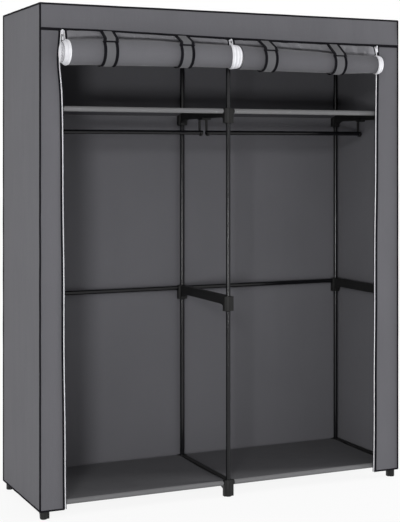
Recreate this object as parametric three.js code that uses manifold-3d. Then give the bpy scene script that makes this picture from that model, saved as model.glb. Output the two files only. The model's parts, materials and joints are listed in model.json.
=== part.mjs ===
// Portable fabric wardrobe: steel tubes pushed into moulded side arms, cloth shelves on the tubes,
// two hanging rails, and a sewn cloth cover whose two front doors are rolled up and strapped.
// Lengths are in millimetres. +Z is up, +X is to the right seen from the front, the front faces -Y.
import * as THREE from "three";
import { mergeVertices } from "three/addons/utils/BufferGeometryUtils.js";
import Module from "manifold-3d";

// Overall sizes of the cover
const width = 1410;
const depth = 450;
const height = 1730;
const hemHeight = 30;
const headerHeight = 85;

// Cloth, and the small gaps left where separate pieces touch
const cloth = 1.2;
const seamGap = 0.3;
const fitGap = 0.3;
const looseGap = 0.5;
const overrun = 2;

// Front flaps beside the doors: each zip leans, so a flap is wider at the hem than at the header
const leftFlapTop = 74;
const leftFlapBottom = 89;
const rightFlapTop = 94;
const rightFlapBottom = 106;

// Tubes
const tubeRadius = 8;
const tubeWall = 0.6;
const tubeSides = 12;
// A circle in an outline takes two sides for each of these steps
const arcSteps = tubeSides / 2;

// Moulded arms: a post sleeve at each end, bosses for the cross tubes, a hollow beam between
const sleeveWall = 4.2;
const sleeveHeight = 55;
const sleeveChamfer = 1.5;
const sleeveSides = 16;
const socketWeb = 3;
const capThickness = 6;
const soleThickness = 20;
const bossStep = 5.5;
const bossHalfDepth = 8;
const spigotLength = 25;
const armWidth = 20;
const armHeight = 32;
const armWall = 2.5;
const gussetLength = 42;
const gussetSteps = 4;
const coverSlack = 4.3;

// Heights of the tops of the arms, and how far the upper shelf's arms are below the top ones
const footHeight = 60;
const middleArmTop = 717;
const topBayHeight = 338.5;
const topArmTop = height - cloth - seamGap;
const shelfArmTop = topArmTop - topBayHeight;

// Cloth shelves, with a hem round the front and back tubes
const shelfCloth = 2;
const hemCloth = 1.5;
const hemShoulder = 1.5;

// Hanging rails in hooks under the shelf arms
const railDrop = 85;
const hookOffset = 14;
const hookThickness = 8;
const hookBar = 4.5;
const hookSteps = 6;
const railOverhang = 3;
const padLength = 40;
const padThickness = 6;

// Rolled doors
const rollStandoff = 16;
const leftRollDrop = 77;
const leftRollOuterRadius = 48;
const leftRollInnerRadius = 43.5;
const leftRollOutset = 14;
const rightRollDrop = 88;
const rightRollInnerRadius = 42.5;
const rightRollOuterRadius = 35.5;
const rightRollInset = 24;
const rollEndGap = 4;
const rollCore = 8;
const rollTurns = 9;
const stepsPerTurn = 16;
const sheetEndAngle = THREE.MathUtils.degToRad(-35);
const sheetWrapSteps = 3;
const sheetEdgeGap = 1.5;

// Straps round the rolls: a long strap from the seam, under the roll and up, and a short tab over it
const strapWidth = 50;
const strapThickness = 1.6;
const strapBond = 0.6;
const strapStep = THREE.MathUtils.degToRad(12);
const strapEndAngle = THREE.MathUtils.degToRad(-232);
const tabEndAngle = THREE.MathUtils.degToRad(141);
const leftStrapShares = [0.231, 0.666];
const rightStrapShares = [0.188, 0.655];

// Zip sliders, each with an arch that holds a swinging pull
const sliderTopWidth = 10;
const sliderBottomWidth = 7;
const sliderHeight = 16;
const sliderDepth = 5;
const chainHalfWidth = 3;
const archWidth = 3;
const archLength = 13;
const archBar = 1.4;
const archOpening = 3;
const pullWidth = 8;
const pullLength = 26;
const pullThickness = 1.6;
const pullWindowWidth = 4.4;
const pullWindowLength = 12;
const pullCorner = 2.5;
const pullCornerSteps = 3;

// Vertices closer than this are one vertex
const weld = 1e-4;

// Sizes that follow from the ones above
const seamZ = height - headerHeight;
const frontY = -depth / 2;
const boreRadius = tubeRadius - tubeWall;
const socketRadius = tubeRadius + fitGap;
const sleeveRadius = socketRadius + sleeveWall;
const bossReach = sleeveRadius + bossStep;
const postX = width / 2 - cloth - coverSlack - sleeveRadius;
const postY = depth / 2 - cloth - coverSlack - sleeveRadius;
const hemRadius = tubeRadius + hemCloth;
const crossTubeDrop = hemRadius + hemShoulder;
const socketDepth = (sleeveHeight - socketWeb) / 2;

const wasm = await Module();
wasm.setup();

// Solids for joins and cuts, and back again
function solidOf(geometry) {
  const loose = geometry.index ? geometry.toNonIndexed() : geometry;
  const bare = new THREE.BufferGeometry().setAttribute("position", loose.getAttribute("position"));
  const merged = mergeVertices(bare, weld);
  return new wasm.Manifold(
    new wasm.Mesh({
      numProp: 3,
      vertProperties: merged.attributes.position.array,
      triVerts: new Uint32Array(merged.index.array),
    }),
  );
}

function geometryOf(solid) {
  const mesh = solid.getMesh();
  const geometry = new THREE.BufferGeometry();
  geometry.setAttribute("position", new THREE.BufferAttribute(mesh.vertProperties, mesh.numProp));
  geometry.setIndex(new THREE.BufferAttribute(mesh.triVerts, 1));
  const faceted = geometry.toNonIndexed();
  faceted.computeVertexNormals();
  return faceted;
}

function join(geometries) {
  return geometries.map(solidOf).reduce((all, next) => all.add(next));
}

function cut(solid, geometries) {
  return geometries.map(solidOf).reduce((left, next) => left.subtract(next), solid);
}

// Shapes pushed out along one axis, and plain blocks between two corners
const alongX = new THREE.Vector3(1, 0, 0);
const alongY = new THREE.Vector3(0, 1, 0);
const alongZ = new THREE.Vector3(0, 0, 1);

function extrudeX(shape, from, to, curveSegments = arcSteps) {
  const turn = new THREE.Matrix4().makeBasis(alongY, alongZ, alongX);
  return new THREE.ExtrudeGeometry(shape, { depth: to - from, bevelEnabled: false, curveSegments })
    .applyMatrix4(turn)
    .translate(from, 0, 0);
}

function extrudeY(shape, from, to, curveSegments = arcSteps) {
  const turn = new THREE.Matrix4().makeBasis(alongX, alongZ, alongY.clone().negate());
  return new THREE.ExtrudeGeometry(shape, { depth: to - from, bevelEnabled: false, curveSegments })
    .applyMatrix4(turn)
    .translate(0, to, 0);
}

function extrudeZ(shape, from, to, curveSegments = arcSteps) {
  return new THREE.ExtrudeGeometry(shape, {
    depth: to - from,
    bevelEnabled: false,
    curveSegments,
  }).translate(0, 0, from);
}

function block(low, high) {
  const size = high.map((value, axis) => value - low[axis]);
  const middle = high.map((value, axis) => (value + low[axis]) / 2);
  return new THREE.BoxGeometry(...size).translate(...middle);
}

function outline(points) {
  return new THREE.Shape(points.map(([across, up]) => new THREE.Vector2(across, up)));
}

function disc(radius) {
  return new THREE.Shape().absarc(0, 0, radius, 0, 2 * Math.PI, false);
}

function ring(outerRadius, innerRadius) {
  const shape = disc(outerRadius);
  shape.holes.push(new THREE.Path().absarc(0, 0, innerRadius, 0, 2 * Math.PI, true));
  return shape;
}

// Finishes: each mesh gets a material of its own
const finishes = {
  coverCloth: { color: 0x636367, roughness: 0.92, metalness: 0 },
  doorCloth: { color: 0x67676b, roughness: 0.9, metalness: 0 },
  shelfCloth: { color: 0x36353a, roughness: 0.9, metalness: 0 },
  strapCloth: { color: 0x1b1b1e, roughness: 0.85, metalness: 0 },
  blackSteel: { color: 0x1a1a1c, roughness: 0.35, metalness: 0.4 },
  blackPlastic: { color: 0x141415, roughness: 0.55, metalness: 0 },
  whiteZip: { color: 0xe4e4e8, roughness: 0.45, metalness: 0 },
};

function piece(name, geometry, finish) {
  const mesh = new THREE.Mesh(geometry, new THREE.MeshStandardMaterial(finishes[finish]));
  mesh.name = name;
  return mesh;
}

// Places across and along the frame
const sides = [
  { name: "left", x: -postX, inner: [1] },
  { name: "centre", x: 0, inner: [-1, 1] },
  { name: "right", x: postX, inner: [-1] },
];
const ends = [
  { name: "front", sign: -1 },
  { name: "back", sign: 1 },
];
const bays = [
  { name: "left", x: -postX },
  { name: "right", x: 0 },
];
const levels = [
  {
    name: "bottom",
    top: footHeight,
    sleeve: footHeight,
    above: footHeight - soleThickness,
    below: 0,
    tubeEnds: ends,
    hooks: false,
  },
  {
    name: "middle",
    top: middleArmTop,
    sleeve: sleeveHeight,
    above: socketDepth,
    below: socketDepth,
    tubeEnds: ends.filter((end) => end.name === "back"),
    hooks: false,
  },
  {
    name: "shelf",
    top: shelfArmTop,
    sleeve: sleeveHeight,
    above: socketDepth,
    below: socketDepth,
    tubeEnds: ends,
    hooks: true,
  },
  {
    name: "top",
    top: topArmTop,
    sleeve: sleeveHeight,
    above: 0,
    below: sleeveHeight - capThickness,
    tubeEnds: ends,
    hooks: false,
  },
];
const levelNamed = (name) => levels.find((level) => level.name === name);

// Moulded arm, its top face at z = 0 and its sleeves at y = -postY and y = postY
function sleeve(level, end) {
  const profile = [
    [0, -level.sleeve],
    [sleeveRadius - sleeveChamfer, -level.sleeve],
    [sleeveRadius, -level.sleeve + sleeveChamfer],
    [sleeveRadius, -sleeveChamfer],
    [sleeveRadius - sleeveChamfer, 0],
    [0, 0],
  ].map(([radius, z]) => new THREE.Vector2(radius, z));
  return new THREE.LatheGeometry(profile, sleeveSides)
    .rotateX(Math.PI / 2)
    .translate(0, end.sign * postY, 0);
}

function sockets(level, end) {
  const y = end.sign * postY;
  const cutters = [];
  if (level.above > 0) {
    cutters.push(extrudeZ(disc(socketRadius), -level.above, overrun).translate(0, y, 0));
  }
  if (level.below > 0) {
    const low = -level.sleeve - overrun;
    cutters.push(extrudeZ(disc(socketRadius), low, -level.sleeve + level.below).translate(0, y, 0));
  }
  return cutters;
}

function boss(level, end, inner) {
  const y = end.sign * postY;
  const reach = [0, inner * bossReach].sort((a, b) => a - b);
  return block(
    [reach[0], y - bossHalfDepth, -level.sleeve + sleeveChamfer],
    [reach[1], y + bossHalfDepth, -sleeveChamfer],
  );
}

function spigot(end, inner) {
  const reach = [0, inner * (bossReach + spigotLength)].sort((a, b) => a - b);
  return extrudeX(disc(boreRadius - fitGap), reach[0], reach[1]).translate(
    0,
    end.sign * postY,
    -crossTubeDrop,
  );
}

// Side view of the beam: flat on top, with a curved gusset down to the foot of each sleeve
function beam(level) {
  const sleeveFaceY = postY - sleeveRadius / 2;
  const gussetStartY = postY - sleeveRadius - gussetLength;
  const gussetFootY = postY - sleeveRadius;
  const gussetFootZ = -level.sleeve + sleeveChamfer;
  const curve = new THREE.QuadraticBezierCurve(
    new THREE.Vector2(gussetStartY, -armHeight),
    new THREE.Vector2(gussetFootY, -armHeight),
    new THREE.Vector2(gussetFootY, gussetFootZ),
  );
  const gusset = curve.getPoints(gussetSteps).map((point) => [point.x, point.y]);
  const mirrored = gusset.map(([y, z]) => [-y, z]).reverse();
  const points = [
    [-sleeveFaceY, gussetFootZ],
    ...mirrored,
    ...gusset,
    [sleeveFaceY, gussetFootZ],
    [sleeveFaceY, 0],
    [-sleeveFaceY, 0],
  ];
  return extrudeX(outline(points), -armWidth / 2, armWidth / 2);
}

function beamPocket() {
  const halfLength = postY - sleeveRadius - gussetLength;
  const halfWidth = armWidth / 2 - armWall;
  return block(
    [-halfWidth, -halfLength, -armHeight - overrun],
    [halfWidth, halfLength, -armWall],
  );
}

// A hook is a stem behind the rail, a cradle under it and a short lip in front
function hook(inner) {
  const cradle = tubeRadius + fitGap;
  const outer = cradle + hookBar;
  const points = [];
  for (let step = 0; step <= hookSteps; step += 1) {
    const angle = Math.PI + (Math.PI * step) / hookSteps;
    points.push([outer * Math.cos(angle), outer * Math.sin(angle)]);
  }
  points.push([outer, railDrop - armHeight], [cradle, railDrop - armHeight]);
  for (let step = 0; step <= hookSteps; step += 1) {
    const angle = 2 * Math.PI - (Math.PI * step) / hookSteps;
    points.push([cradle * Math.cos(angle), cradle * Math.sin(angle)]);
  }
  const middle = inner * hookOffset;
  return extrudeX(
    outline(points),
    middle - hookThickness / 2,
    middle + hookThickness / 2,
  ).translate(0, 0, -railDrop);
}

function hookPad(inner) {
  const reach = inner * (hookOffset + hookThickness / 2);
  const across = [0, reach].sort((a, b) => a - b);
  return block(
    [across[0], -padLength / 2, -armHeight - padThickness],
    [across[1], padLength / 2, -armHeight + armWall],
  );
}

function arm(level, side) {
  const solids = [beam(level)];
  for (const end of ends) {
    solids.push(sleeve(level, end));
    side.inner.forEach((inner) => solids.push(boss(level, end, inner)));
  }
  for (const end of level.tubeEnds) {
    side.inner.forEach((inner) => solids.push(spigot(end, inner)));
  }
  const cutters = ends.flatMap((end) => sockets(level, end));
  let body = cut(cut(join(solids), cutters), [beamPocket()]);
  if (level.hooks) {
    const pads = side.inner.map((inner) => hookPad(inner));
    const hooks = side.inner.map((inner) => hook(inner));
    body = body.add(join([...pads, ...hooks]));
  }
  const mesh = piece(`${level.name}_arm_${side.name}`, geometryOf(body), "blackPlastic");
  mesh.position.set(side.x, 0, level.top);
  return mesh;
}

// Posts, each from one arm's socket to the next
function post(name, lower, upper, side, end) {
  const from = lower.top - lower.above + fitGap;
  const to = upper.top - upper.sleeve + upper.below - fitGap;
  const tube = extrudeZ(ring(tubeRadius, boreRadius), 0, to - from);
  const mesh = piece(`${name}_post_${end.name}_${side.name}`, tube, "blackSteel");
  mesh.position.set(side.x, end.sign * postY, from);
  return mesh;
}

// Cross tubes without cloth, over the spigots of two neighbouring arms
const crossTubeStart = bossReach + fitGap;
const crossTubeEnd = postX - bossReach - fitGap;

function crossTube(level, end, bay) {
  const tube = extrudeX(ring(tubeRadius, boreRadius), crossTubeStart, crossTubeEnd);
  const mesh = piece(`${level.name}_${end.name}_tube_${bay.name}`, tube, "blackSteel");
  mesh.position.set(bay.x, end.sign * postY, level.top - crossTubeDrop);
  return mesh;
}

// Cloth shelf with its front and back tubes in their hems, the tubes' axes at z = 0
function shelf(level, name, bay) {
  const armEdge = armWidth / 2 + fitGap;
  const bodyY = postY - sleeveRadius - fitGap;
  const corner = [
    [crossTubeStart, postY],
    [crossTubeStart, bodyY],
    [armEdge, bodyY],
  ];
  const far = corner.map(([x, y]) => [postX - x, y]);
  const back = [...far.slice().reverse(), ...corner];
  const front = back.map(([x, y]) => [x, -y]).reverse();
  const deck = extrudeZ(outline([...back, ...front]), hemRadius - shelfCloth, hemRadius);
  const hems = ends.map((end) =>
    extrudeX(disc(hemRadius), crossTubeStart, crossTubeEnd).translate(0, end.sign * postY, 0),
  );
  const bores = ends.map((end) =>
    extrudeX(disc(boreRadius), crossTubeStart - overrun, crossTubeEnd + overrun).translate(
      0,
      end.sign * postY,
      0,
    ),
  );
  const body = cut(join([deck, ...hems]), bores);
  const mesh = piece(`${name}_shelf_${bay.name}`, geometryOf(body), "shelfCloth");
  mesh.position.set(bay.x, 0, level.top - crossTubeDrop);
  return mesh;
}

// Hanging rail, lying in the cradles of two hooks
function hangingRail(bay) {
  const start = hookOffset - hookThickness / 2 - railOverhang;
  const rail = extrudeX(ring(tubeRadius, boreRadius), start, postX - start);
  const mesh = piece(`hanging_rail_${bay.name}`, rail, "blackSteel");
  mesh.position.set(bay.x, 0, shelfArmTop - railDrop);
  return mesh;
}

// Cover panels: each side panel carries its front flap, and the top carries the header
const panelTop = height - cloth - seamGap;

function sidePanel(name, sign, flapTop, flapBottom) {
  const outside = (sign * width) / 2;
  const inside = outside - sign * cloth;
  const across = [outside, inside].sort((a, b) => a - b);
  const panel = block([across[0], frontY, hemHeight], [across[1], -frontY, panelTop]);
  const flap = outline([
    [outside, hemHeight],
    [outside - sign * flapBottom, hemHeight],
    [outside - sign * flapTop, seamZ - seamGap],
    [outside, seamZ - seamGap],
  ]);
  const body = join([panel, extrudeY(flap, frontY, frontY + cloth)]);
  return piece(name, geometryOf(body), "coverCloth");
}

function backPanel() {
  const halfWidth = width / 2 - cloth - seamGap;
  const panel = block(
    [-halfWidth, -frontY - cloth, hemHeight],
    [halfWidth, -frontY, panelTop],
  );
  return piece("cover_back", panel, "coverCloth");
}

function topPanel() {
  const halfWidth = width / 2 - cloth - seamGap;
  const top = block([-width / 2, frontY, height - cloth], [width / 2, -frontY, height]);
  const header = block([-halfWidth, frontY, seamZ], [halfWidth, frontY + cloth, height]);
  return piece("cover_top", geometryOf(join([top, header])), "coverCloth");
}

// Zip lines: the x of each zip at the header and at the hem
const leftZipTop = -width / 2 + leftFlapTop + chainHalfWidth;
const rightZipTop = width / 2 - rightFlapTop - chainHalfWidth;

// A roll lies along X. Its cross-section is in the Y-Z plane, held as x = Y and y = Z of a 2D vector,
// and its angles run from the rear (+Y) towards the top.
const rolls = {
  left: {
    name: "left",
    from: leftZipTop - leftRollOutset,
    to: -rollEndGap,
    radiusFrom: leftRollOuterRadius,
    radiusTo: leftRollInnerRadius,
    axisZ: seamZ - leftRollDrop,
    sheetFrom: leftZipTop + sliderTopWidth / 2 + sheetEdgeGap,
    sheetTo: -sliderTopWidth / 2 - sheetEdgeGap,
    doorFrom: leftZipTop,
    doorTo: 0,
    strapShares: leftStrapShares,
  },
  right: {
    name: "right",
    from: rollEndGap,
    to: rightZipTop - rightRollInset,
    radiusFrom: rightRollInnerRadius,
    radiusTo: rightRollOuterRadius,
    axisZ: seamZ - rightRollDrop,
    sheetFrom: sliderTopWidth / 2 + sheetEdgeGap,
    sheetTo: rightZipTop - sliderTopWidth / 2 - sheetEdgeGap,
    doorFrom: 0,
    doorTo: rightZipTop,
    strapShares: rightStrapShares,
  },
};
for (const roll of Object.values(rolls)) {
  roll.centre = new THREE.Vector2(
    frontY - rollStandoff - Math.max(roll.radiusFrom, roll.radiusTo),
    roll.axisZ,
  );
}

function rollRadiusAt(roll, x) {
  const share = (x - roll.from) / (roll.to - roll.from);
  return roll.radiusFrom + share * (roll.radiusTo - roll.radiusFrom);
}

function onCircle(centre, radius, angle) {
  return new THREE.Vector2(
    centre.x + radius * Math.cos(angle),
    centre.y + radius * Math.sin(angle),
  );
}

// The angle at which a straight line from a point touches a circle, on its rear or its front side
function touchAngle(from, centre, radius, side) {
  const reach = from.clone().sub(centre);
  return Math.atan2(reach.y, reach.x) + side * Math.acos(radius / reach.length());
}

function arc(centre, radius, from, to, steps) {
  const points = [];
  for (let step = 0; step <= steps; step += 1) {
    points.push(onCircle(centre, radius, from + ((to - from) * step) / steps));
  }
  return points;
}

// Cross-section of a band of cloth of one thickness along a path
function band(path, thickness) {
  const offsets = path.map((point, index) => {
    const before = path[Math.max(index - 1, 0)];
    const after = path[Math.min(index + 1, path.length - 1)];
    const along = after.clone().sub(before).normalize();
    return new THREE.Vector2(-along.y, along.x).multiplyScalar(thickness / 2);
  });
  const one = path.map((point, index) => point.clone().add(offsets[index]));
  const other = path.map((point, index) => point.clone().sub(offsets[index]));
  return [...one, ...other.reverse()];
}

// Closed body between two cross-sections with the same number of points
function loft(nearSection, farSection, from, to) {
  const clockwise = THREE.ShapeUtils.isClockWise(nearSection);
  const near = clockwise ? nearSection.slice().reverse() : nearSection;
  const far = clockwise ? farSection.slice().reverse() : farSection;
  const count = near.length;
  const positions = [
    ...near.flatMap((point) => [from, point.x, point.y]),
    ...far.flatMap((point) => [to, point.x, point.y]),
  ];
  const indices = [];
  for (const [a, b, c] of THREE.ShapeUtils.triangulateShape(near, [])) {
    indices.push(a, c, b, a + count, b + count, c + count);
  }
  near.forEach((point, index) => {
    const next = (index + 1) % count;
    indices.push(index, next, next + count, index, next + count, index + count);
  });
  const geometry = new THREE.BufferGeometry();
  geometry.setAttribute("position", new THREE.Float32BufferAttribute(positions, 3));
  geometry.setIndex(indices);
  const faceted = geometry.toNonIndexed();
  faceted.computeVertexNormals();
  return faceted;
}

// Wound door cloth: a spiral from the outer turn, where the sheet runs in, to the core
function spiralPath(roll, radius) {
  const pitch = (radius - cloth / 2 - rollCore) / rollTurns;
  const points = [];
  for (let step = 0; step <= rollTurns * stepsPerTurn; step += 1) {
    const turns = step / stepsPerTurn;
    const angle = sheetEndAngle - turns * 2 * Math.PI;
    points.push(onCircle(roll.centre, radius - cloth / 2 - turns * pitch, angle));
  }
  return points;
}

function leastGap(path) {
  const distances = path
    .slice(stepsPerTurn)
    .map((point, index) => point.distanceTo(path[index]) - cloth);
  return Math.min(...distances);
}

function doorRoll(roll) {
  const near = spiralPath(roll, roll.radiusFrom);
  const far = spiralPath(roll, roll.radiusTo);
  const gap = Math.min(leastGap(near), leastGap(far));
  console.log(`${roll.name} roll: ${rollTurns} turns, least gap ${gap.toFixed(2)} mm`);
  const body = loft(band(near, cloth), band(far, cloth), roll.from, roll.to);
  return piece(`door_roll_${roll.name}`, body, "doorCloth");
}

// Door cloth from the header seam, down behind the roll and into its outer turn
function sheetSection(roll, x) {
  const seam = new THREE.Vector2(frontY + cloth / 2, seamZ - seamGap);
  const radius = rollRadiusAt(roll, x) + looseGap + cloth / 2;
  const touch = touchAngle(seam, roll.centre, radius, -1);
  const path = [seam, ...arc(roll.centre, radius, touch, sheetEndAngle, sheetWrapSteps)];
  return band(path, cloth);
}

// Long strap: from the seam behind the sheet, round under the roll and up its front
function strapCentres(roll) {
  return roll.strapShares.map((share) => roll.doorFrom + share * (roll.doorTo - roll.doorFrom));
}

function strapRadius(roll, x) {
  const widest = Math.max(
    rollRadiusAt(roll, x - strapWidth / 2),
    rollRadiusAt(roll, x + strapWidth / 2),
  );
  return widest + looseGap + cloth - strapBond + strapThickness / 2;
}

function longStrap(roll, x) {
  const seam = new THREE.Vector2(
    frontY + cloth - strapBond + strapThickness / 2,
    seamZ - seamGap - strapThickness / 2,
  );
  const radius = strapRadius(roll, x);
  const touch = touchAngle(seam, roll.centre, radius, -1);
  const steps = Math.round((touch - strapEndAngle) / strapStep);
  const path = [seam, ...arc(roll.centre, radius, touch, strapEndAngle, steps)];
  const section = band(path, strapThickness);
  return loft(section, section, x - strapWidth / 2, x + strapWidth / 2);
}

function doorSheet(roll) {
  const sheet = loft(
    sheetSection(roll, roll.sheetFrom),
    sheetSection(roll, roll.sheetTo),
    roll.sheetFrom,
    roll.sheetTo,
  );
  const straps = strapCentres(roll).map((x) => longStrap(roll, x));
  return piece(`door_sheet_${roll.name}`, geometryOf(join([sheet, ...straps])), "doorCloth");
}

// Strap tab: hinged at the seam in front of the header, over the roll and onto the long strap
const tabHinge = new THREE.Vector2(frontY - strapThickness / 2 - looseGap, seamZ);

function strapTab(roll, x, number) {
  const radius = strapRadius(roll, x) + strapThickness + looseGap;
  const touch = touchAngle(tabHinge, roll.centre, radius, 1);
  const steps = Math.ceil((tabEndAngle - touch) / strapStep);
  const path = [tabHinge, ...arc(roll.centre, radius, touch, tabEndAngle, steps)];
  const section = band(path, strapThickness);
  const body = loft(section, section, -strapWidth / 2, strapWidth / 2);
  const mesh = piece(`strap_tab_${number}`, body, "strapCloth");
  mesh.position.x = x;
  return mesh;
}

// Zip slider, its back face at y = 0 and its top at z = 0
function zipSlider(name, x) {
  const shield = outline([
    [-sliderBottomWidth / 2, -sliderHeight],
    [sliderBottomWidth / 2, -sliderHeight],
    [sliderTopWidth / 2, -sliderHeight / 2],
    [sliderTopWidth / 2, 0],
    [-sliderTopWidth / 2, 0],
    [-sliderTopWidth / 2, -sliderHeight / 2],
  ]);
  const middleZ = -sliderHeight / 2;
  const rootY = -sliderDepth + archBar;
  const innerY = -sliderDepth - archOpening;
  const halfOpening = archLength / 2 - archBar;
  const arch = outline([
    [rootY, middleZ + archLength / 2],
    [innerY - archBar, middleZ + archLength / 2],
    [innerY - archBar, middleZ - archLength / 2],
    [rootY, middleZ - archLength / 2],
    [rootY, middleZ - halfOpening],
    [innerY, middleZ - halfOpening],
    [innerY, middleZ + halfOpening],
    [rootY, middleZ + halfOpening],
  ]);
  const body = join([
    extrudeY(shield, -sliderDepth, 0),
    extrudeX(arch, -archWidth / 2, archWidth / 2),
  ]);
  const mesh = piece(`zip_slider_${name}`, geometryOf(body), "whiteZip");
  mesh.position.set(x, frontY - seamGap, seamZ - seamGap);
  return mesh;
}

// Zip pull: a plate with a window, hanging by its top bar in the slider's arch
function zipPull(name, x) {
  const bar = pullThickness / 2;
  const tip = bar - pullLength;
  const half = pullWidth / 2;
  const plate = new THREE.Shape();
  plate.moveTo(half, bar);
  plate.lineTo(-half, bar);
  plate.lineTo(-half, tip + pullCorner);
  plate.absarc(-half + pullCorner, tip + pullCorner, pullCorner, Math.PI, 1.5 * Math.PI, false);
  plate.absarc(half - pullCorner, tip + pullCorner, pullCorner, 1.5 * Math.PI, 2 * Math.PI, false);
  const window = new THREE.Path([
    new THREE.Vector2(-pullWindowWidth / 2, -bar),
    new THREE.Vector2(pullWindowWidth / 2, -bar),
    new THREE.Vector2(pullWindowWidth / 2, -bar - pullWindowLength),
    new THREE.Vector2(-pullWindowWidth / 2, -bar - pullWindowLength),
  ]);
  plate.holes.push(window);
  const geometry = extrudeY(plate, -bar, bar, pullCornerSteps);
  const mesh = piece(`zip_pull_${name}`, geometry, "whiteZip");
  const seat = -sliderHeight / 2 - archLength / 2 + archBar + fitGap + bar * Math.SQRT2;
  mesh.position.set(
    x,
    frontY - seamGap - sliderDepth - archOpening / 2,
    seamZ - seamGap + seat,
  );
  return mesh;
}

// Assembly
const frame = new THREE.Group();
for (const level of levels) {
  sides.forEach((side) => frame.add(arm(level, side)));
}
["lower", "middle", "upper"].forEach((name, index) => {
  for (const side of sides) {
    ends.forEach((end) => frame.add(post(name, levels[index], levels[index + 1], side, end)));
  }
});
for (const bay of bays) {
  frame.add(crossTube(levelNamed("middle"), ends[1], bay));
  ends.forEach((end) => frame.add(crossTube(levelNamed("top"), end, bay)));
  frame.add(hangingRail(bay));
}

const shelves = new THREE.Group();
for (const bay of bays) {
  shelves.add(shelf(levelNamed("bottom"), "bottom", bay));
  shelves.add(shelf(levelNamed("shelf"), "upper", bay));
}

const cover = new THREE.Group();
cover.add(sidePanel("cover_left", -1, leftFlapTop, leftFlapBottom));
cover.add(sidePanel("cover_right", 1, rightFlapTop, rightFlapBottom));
cover.add(backPanel());
cover.add(topPanel());

const doors = new THREE.Group();
let tabNumber = 0;
for (const roll of [rolls.left, rolls.right]) {
  doors.add(doorRoll(roll));
  doors.add(doorSheet(roll));
  for (const x of strapCentres(roll)) {
    tabNumber += 1;
    doors.add(strapTab(roll, x, tabNumber));
  }
}
for (const [name, x] of [
  ["left", leftZipTop],
  ["centre", 0],
  ["right", rightZipTop],
]) {
  doors.add(zipSlider(name, x));
  doors.add(zipPull(name, x));
}

// The origin is on the floor under the middle of the whole part, rolls included
const wardrobe = new THREE.Group();
wardrobe.add(frame, shelves, cover, doors);
const extent = new THREE.Box3().setFromObject(wardrobe);
wardrobe.position.y = -(extent.min.y + extent.max.y) / 2;

export default wardrobe;
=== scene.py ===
# Portable fabric wardrobe with its two front doors rolled up and strapped.
# Lengths are in metres. +Z is up, +X is to the right seen from the front, the front faces -Y.
import json
import math

import bmesh
import bpy
from mathutils import Matrix, Vector, noise


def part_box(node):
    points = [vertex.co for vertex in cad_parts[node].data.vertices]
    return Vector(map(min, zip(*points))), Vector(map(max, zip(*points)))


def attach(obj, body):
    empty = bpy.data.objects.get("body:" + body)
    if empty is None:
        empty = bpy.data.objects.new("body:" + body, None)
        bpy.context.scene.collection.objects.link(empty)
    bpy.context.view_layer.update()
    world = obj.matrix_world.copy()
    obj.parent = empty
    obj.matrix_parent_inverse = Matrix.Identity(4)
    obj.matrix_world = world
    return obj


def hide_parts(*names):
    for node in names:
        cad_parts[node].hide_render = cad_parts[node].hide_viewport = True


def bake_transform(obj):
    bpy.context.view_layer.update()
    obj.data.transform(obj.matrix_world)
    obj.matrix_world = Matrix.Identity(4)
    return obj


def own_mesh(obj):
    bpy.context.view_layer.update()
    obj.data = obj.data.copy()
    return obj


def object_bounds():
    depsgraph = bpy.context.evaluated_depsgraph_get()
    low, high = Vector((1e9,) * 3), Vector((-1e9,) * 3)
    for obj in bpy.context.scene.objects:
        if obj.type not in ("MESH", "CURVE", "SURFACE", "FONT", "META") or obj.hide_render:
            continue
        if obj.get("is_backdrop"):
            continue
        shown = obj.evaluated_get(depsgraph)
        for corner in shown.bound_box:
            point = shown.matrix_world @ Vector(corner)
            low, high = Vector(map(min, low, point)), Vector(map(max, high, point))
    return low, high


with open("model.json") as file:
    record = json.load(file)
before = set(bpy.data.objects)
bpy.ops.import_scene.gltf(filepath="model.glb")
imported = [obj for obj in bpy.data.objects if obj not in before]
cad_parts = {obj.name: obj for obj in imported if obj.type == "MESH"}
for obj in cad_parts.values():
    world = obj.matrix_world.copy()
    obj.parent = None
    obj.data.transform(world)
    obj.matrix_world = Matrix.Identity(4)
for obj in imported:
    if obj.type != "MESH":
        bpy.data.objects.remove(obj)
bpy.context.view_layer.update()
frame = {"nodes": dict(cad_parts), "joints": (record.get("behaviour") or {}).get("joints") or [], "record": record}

# Camera
# It stands to the left of the front, at about seven tenths of the wardrobe's height, and is level,
# so that upright edges stay upright in the picture.
photo_height = 522
focal_length_px = 1259.5
horizon_px = 152.7
sensor_width = 36.0
camera_place = (-1.951, -4.220, 1.230)
camera_tilt = math.radians(90)
camera_turn = math.radians(-24.33)
camera = bpy.data.objects.new("camera", bpy.data.cameras.new("camera"))
camera.data.sensor_width = sensor_width
camera.data.lens = focal_length_px / photo_height * sensor_width
camera.data.shift_y = (horizon_px - photo_height / 2) / photo_height
camera.location = camera_place
camera.rotation_euler = (camera_tilt, 0, camera_turn)
bpy.context.scene.collection.objects.link(camera)
bpy.context.scene.camera = camera

# Cover cloth
# The sides, back, top and header are cut from grey non-woven cloth, pressed all over with tiny dots,
# and sewn together inside out. Each hangs nearly flat, with the shallow waves of cloth that was folded.


class Value:
    """An output socket whose sums and products add their own Math nodes."""

    def __init__(self, shader, socket):
        self.shader = shader
        self.socket = socket

    def maths(self, operation, other):
        return self.shader.node("ShaderNodeMath", {"operation": operation}, {0: self, 1: other})

    def __add__(self, other):
        return self.maths("ADD", other)

    def __mul__(self, other):
        return self.maths("MULTIPLY", other)

    __radd__ = __add__
    __rmul__ = __mul__


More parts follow.
